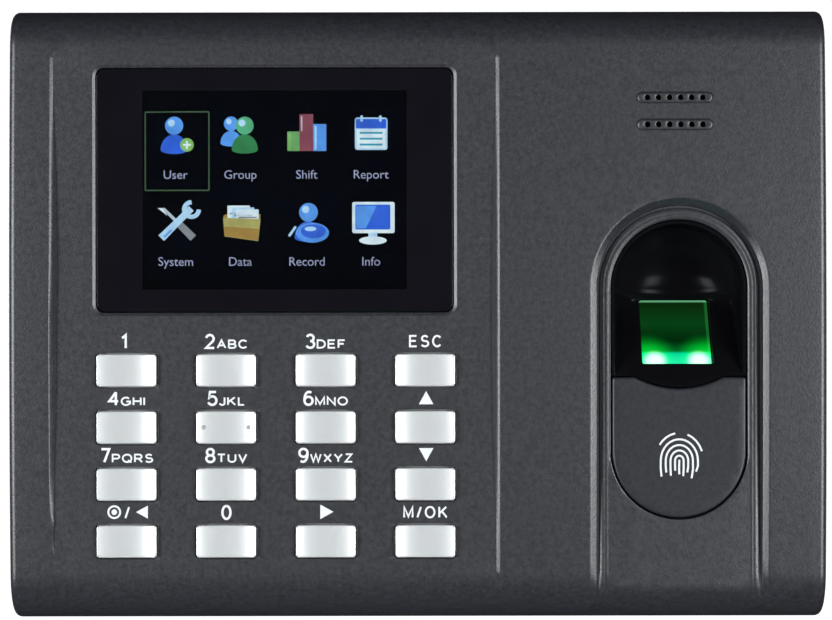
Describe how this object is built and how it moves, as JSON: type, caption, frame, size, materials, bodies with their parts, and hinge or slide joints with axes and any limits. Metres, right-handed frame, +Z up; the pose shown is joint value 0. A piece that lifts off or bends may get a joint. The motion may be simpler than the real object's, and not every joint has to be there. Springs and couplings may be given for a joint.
{
  "type": "fingerprint scanner terminal",
  "caption": "Wall-mounted terminal with a colour display, a keypad, a speaker grille and an optical fingerprint reader in an arched finger channel.",
  "frame": {"origin": "centre of the wall plate's back face, so the wall is the plane y = 0", "axes": "+X to the right when facing the terminal, +Y into the wall, +Z up"},
  "size_m": [0.18, 0.037, 0.135],
  "materials": {
    "casing": "fine-grained satin charcoal ABS",
    "window": "black back-printed acrylic",
    "display": "colour display, lit",
    "key_plastic": "satin silver-white",
    "rubber": "silicone sheet",
    "scoop_gloss": "polished black",
    "prism_glass": "green-lit optical glass",
    "lamp": "lit lamp",
    "board": "green solder mask",
    "chip": "moulded black",
    "relay": "blue case",
    "terminal_green": "green",
    "black_plastic": "black",
    "battery_wrap": "shrink sleeve",
    "ribbon": "flat ribbon",
    "wire": "insulated leads",
    "cone_paper": "treated paper",
    "plate_steel": "zinc-plated sheet",
    "screw_steel": "nickel-plated"
  },
  "bodies": {
    "casing": {"front_cover": "casing", "rear_cover": "casing", "finger_rest": "casing", "wall_plate": "plate_steel", "lcd_window": "window", "lcd_panel": "display", "lcd_frame": "plate_steel", "lcd_flex": "ribbon", "keypad_mat": "rubber", "main_board": "board", "processor": "chip", "memory_chip": "chip", "lock_relay": "relay", "coin_cell": "plate_steel", "ethernet_jack": "plate_steel", "dc_jack": "black_plastic", "terminal_block": "terminal_green", "usb_port": "plate_steel", "reset_switch": "black_plastic", "tamper_switch": "black_plastic", "battery_pack": "battery_wrap", "battery_wires": "wire", "speaker_frame": "plate_steel", "speaker_cone": "cone_paper", "speaker_magnet": "screw_steel", "speaker_wires": "wire", "sensor_prism": "prism_glass", "sensor_housing": "black_plastic", "sensor_board": "board", "sensor_led_left": "lamp", "sensor_led_right": "lamp", "sensor_lens": "black_plastic", "sensor_bezel": "scoop_gloss", "sensor_cable": "ribbon", "plate_screw": "screw_steel", "cover_screw_1": "screw_steel", "cover_screw_2": "screw_steel", "cover_screw_3": "screw_steel", "cover_screw_4": "screw_steel", "board_screw_1": "screw_steel", "board_screw_2": "screw_steel", "board_screw_3": "screw_steel"},
    "key_1": {"key_1": "key_plastic"},
    "key_2": {"key_2": "key_plastic"},
    "key_3": {"key_3": "key_plastic"},
    "key_esc": {"key_esc": "key_plastic"},
    "key_4": {"key_4": "key_plastic"},
    "key_5": {"key_5": "key_plastic"},
    "key_6": {"key_6": "key_plastic"},
    "key_up": {"key_up": "key_plastic"},
    "key_7": {"key_7": "key_plastic"},
    "key_8": {"key_8": "key_plastic"},
    "key_9": {"key_9": "key_plastic"},
    "key_down": {"key_down": "key_plastic"},
    "key_left": {"key_left": "key_plastic"},
    "key_0": {"key_0": "key_plastic"},
    "key_right": {"key_right": "key_plastic"},
    "key_ok": {"key_ok": "key_plastic"},
    "tamper_plunger": {"tamper_plunger": "key_plastic"},
    "reset_button": {"reset_button": "key_plastic"}
  },
  "joints": [
    {"name": "key_1_press", "type": "slide", "parent": "casing", "child": "key_1", "axis": [0, 1, 0], "range_m": [0, 0.001], "stiffness_N_per_m": 1200, "deforming": ["keypad_mat"]},
    {"name": "key_2_press", "type": "slide", "parent": "casing", "child": "key_2", "axis": [0, 1, 0], "range_m": [0, 0.001], "stiffness_N_per_m": 1200, "deforming": ["keypad_mat"]},
    {"name": "key_3_press", "type": "slide", "parent": "casing", "child": "key_3", "axis": [0, 1, 0], "range_m": [0, 0.001], "stiffness_N_per_m": 1200, "deforming": ["keypad_mat"]},
    {"name": "key_esc_press", "type": "slide", "parent": "casing", "child": "key_esc", "axis": [0, 1, 0], "range_m": [0, 0.001], "stiffness_N_per_m": 1200, "deforming": ["keypad_mat"]},
    {"name": "key_4_press", "type": "slide", "parent": "casing", "child": "key_4", "axis": [0, 1, 0], "range_m": [0, 0.001], "stiffness_N_per_m": 1200, "deforming": ["keypad_mat"]},
    {"name": "key_5_press", "type": "slide", "parent": "casing", "child": "key_5", "axis": [0, 1, 0], "range_m": [0, 0.001], "stiffness_N_per_m": 1200, "deforming": ["keypad_mat"]},
    {"name": "key_6_press", "type": "slide", "parent": "casing", "child": "key_6", "axis": [0, 1, 0], "range_m": [0, 0.001], "stiffness_N_per_m": 1200, "deforming": ["keypad_mat"]},
    {"name": "key_up_press", "type": "slide", "parent": "casing", "child": "key_up", "axis": [0, 1, 0], "range_m": [0, 0.001], "stiffness_N_per_m": 1200, "deforming": ["keypad_mat"]},
    {"name": "key_7_press", "type": "slide", "parent": "casing", "child": "key_7", "axis": [0, 1, 0], "range_m": [0, 0.001], "stiffness_N_per_m": 1200, "deforming": ["keypad_mat"]},
    {"name": "key_8_press", "type": "slide", "parent": "casing", "child": "key_8", "axis": [0, 1, 0], "range_m": [0, 0.001], "stiffness_N_per_m": 1200, "deforming": ["keypad_mat"]},
    {"name": "key_9_press", "type": "slide", "parent": "casing", "child": "key_9", "axis": [0, 1, 0], "range_m": [0, 0.001], "stiffness_N_per_m": 1200, "deforming": ["keypad_mat"]},
    {"name": "key_down_press", "type": "slide", "parent": "casing", "child": "key_down", "axis": [0, 1, 0], "range_m": [0, 0.001], "stiffness_N_per_m": 1200, "deforming": ["keypad_mat"]},
    {"name": "key_left_press", "type": "slide", "parent": "casing", "child": "key_left", "axis": [0, 1, 0], "range_m": [0, 0.001], "stiffness_N_per_m": 1200, "deforming": ["keypad_mat"]},
    {"name": "key_0_press", "type": "slide", "parent": "casing", "child": "key_0", "axis": [0, 1, 0], "range_m": [0, 0.001], "stiffness_N_per_m": 1200, "deforming": ["keypad_mat"]},
    {"name": "key_right_press", "type": "slide", "parent": "casing", "child": "key_right", "axis": [0, 1, 0], "range_m": [0, 0.001], "stiffness_N_per_m": 1200, "deforming": ["keypad_mat"]},
    {"name": "key_ok_press", "type": "slide", "parent": "casing", "child": "key_ok", "axis": [0, 1, 0], "range_m": [0, 0.001], "stiffness_N_per_m": 1200, "deforming": ["keypad_mat"]},
    {"name": "tamper_plunger_press", "type": "slide", "parent": "casing", "child": "tamper_plunger", "axis": [0, -1, 0], "range_m": [0, 0.0012], "stiffness_N_per_m": 300},
    {"name": "reset_button_press", "type": "slide", "parent": "casing", "child": "reset_button", "axis": [0, 0, 1], "range_m": [0, 0.0003], "stiffness_N_per_m": 6000}
  ]
}
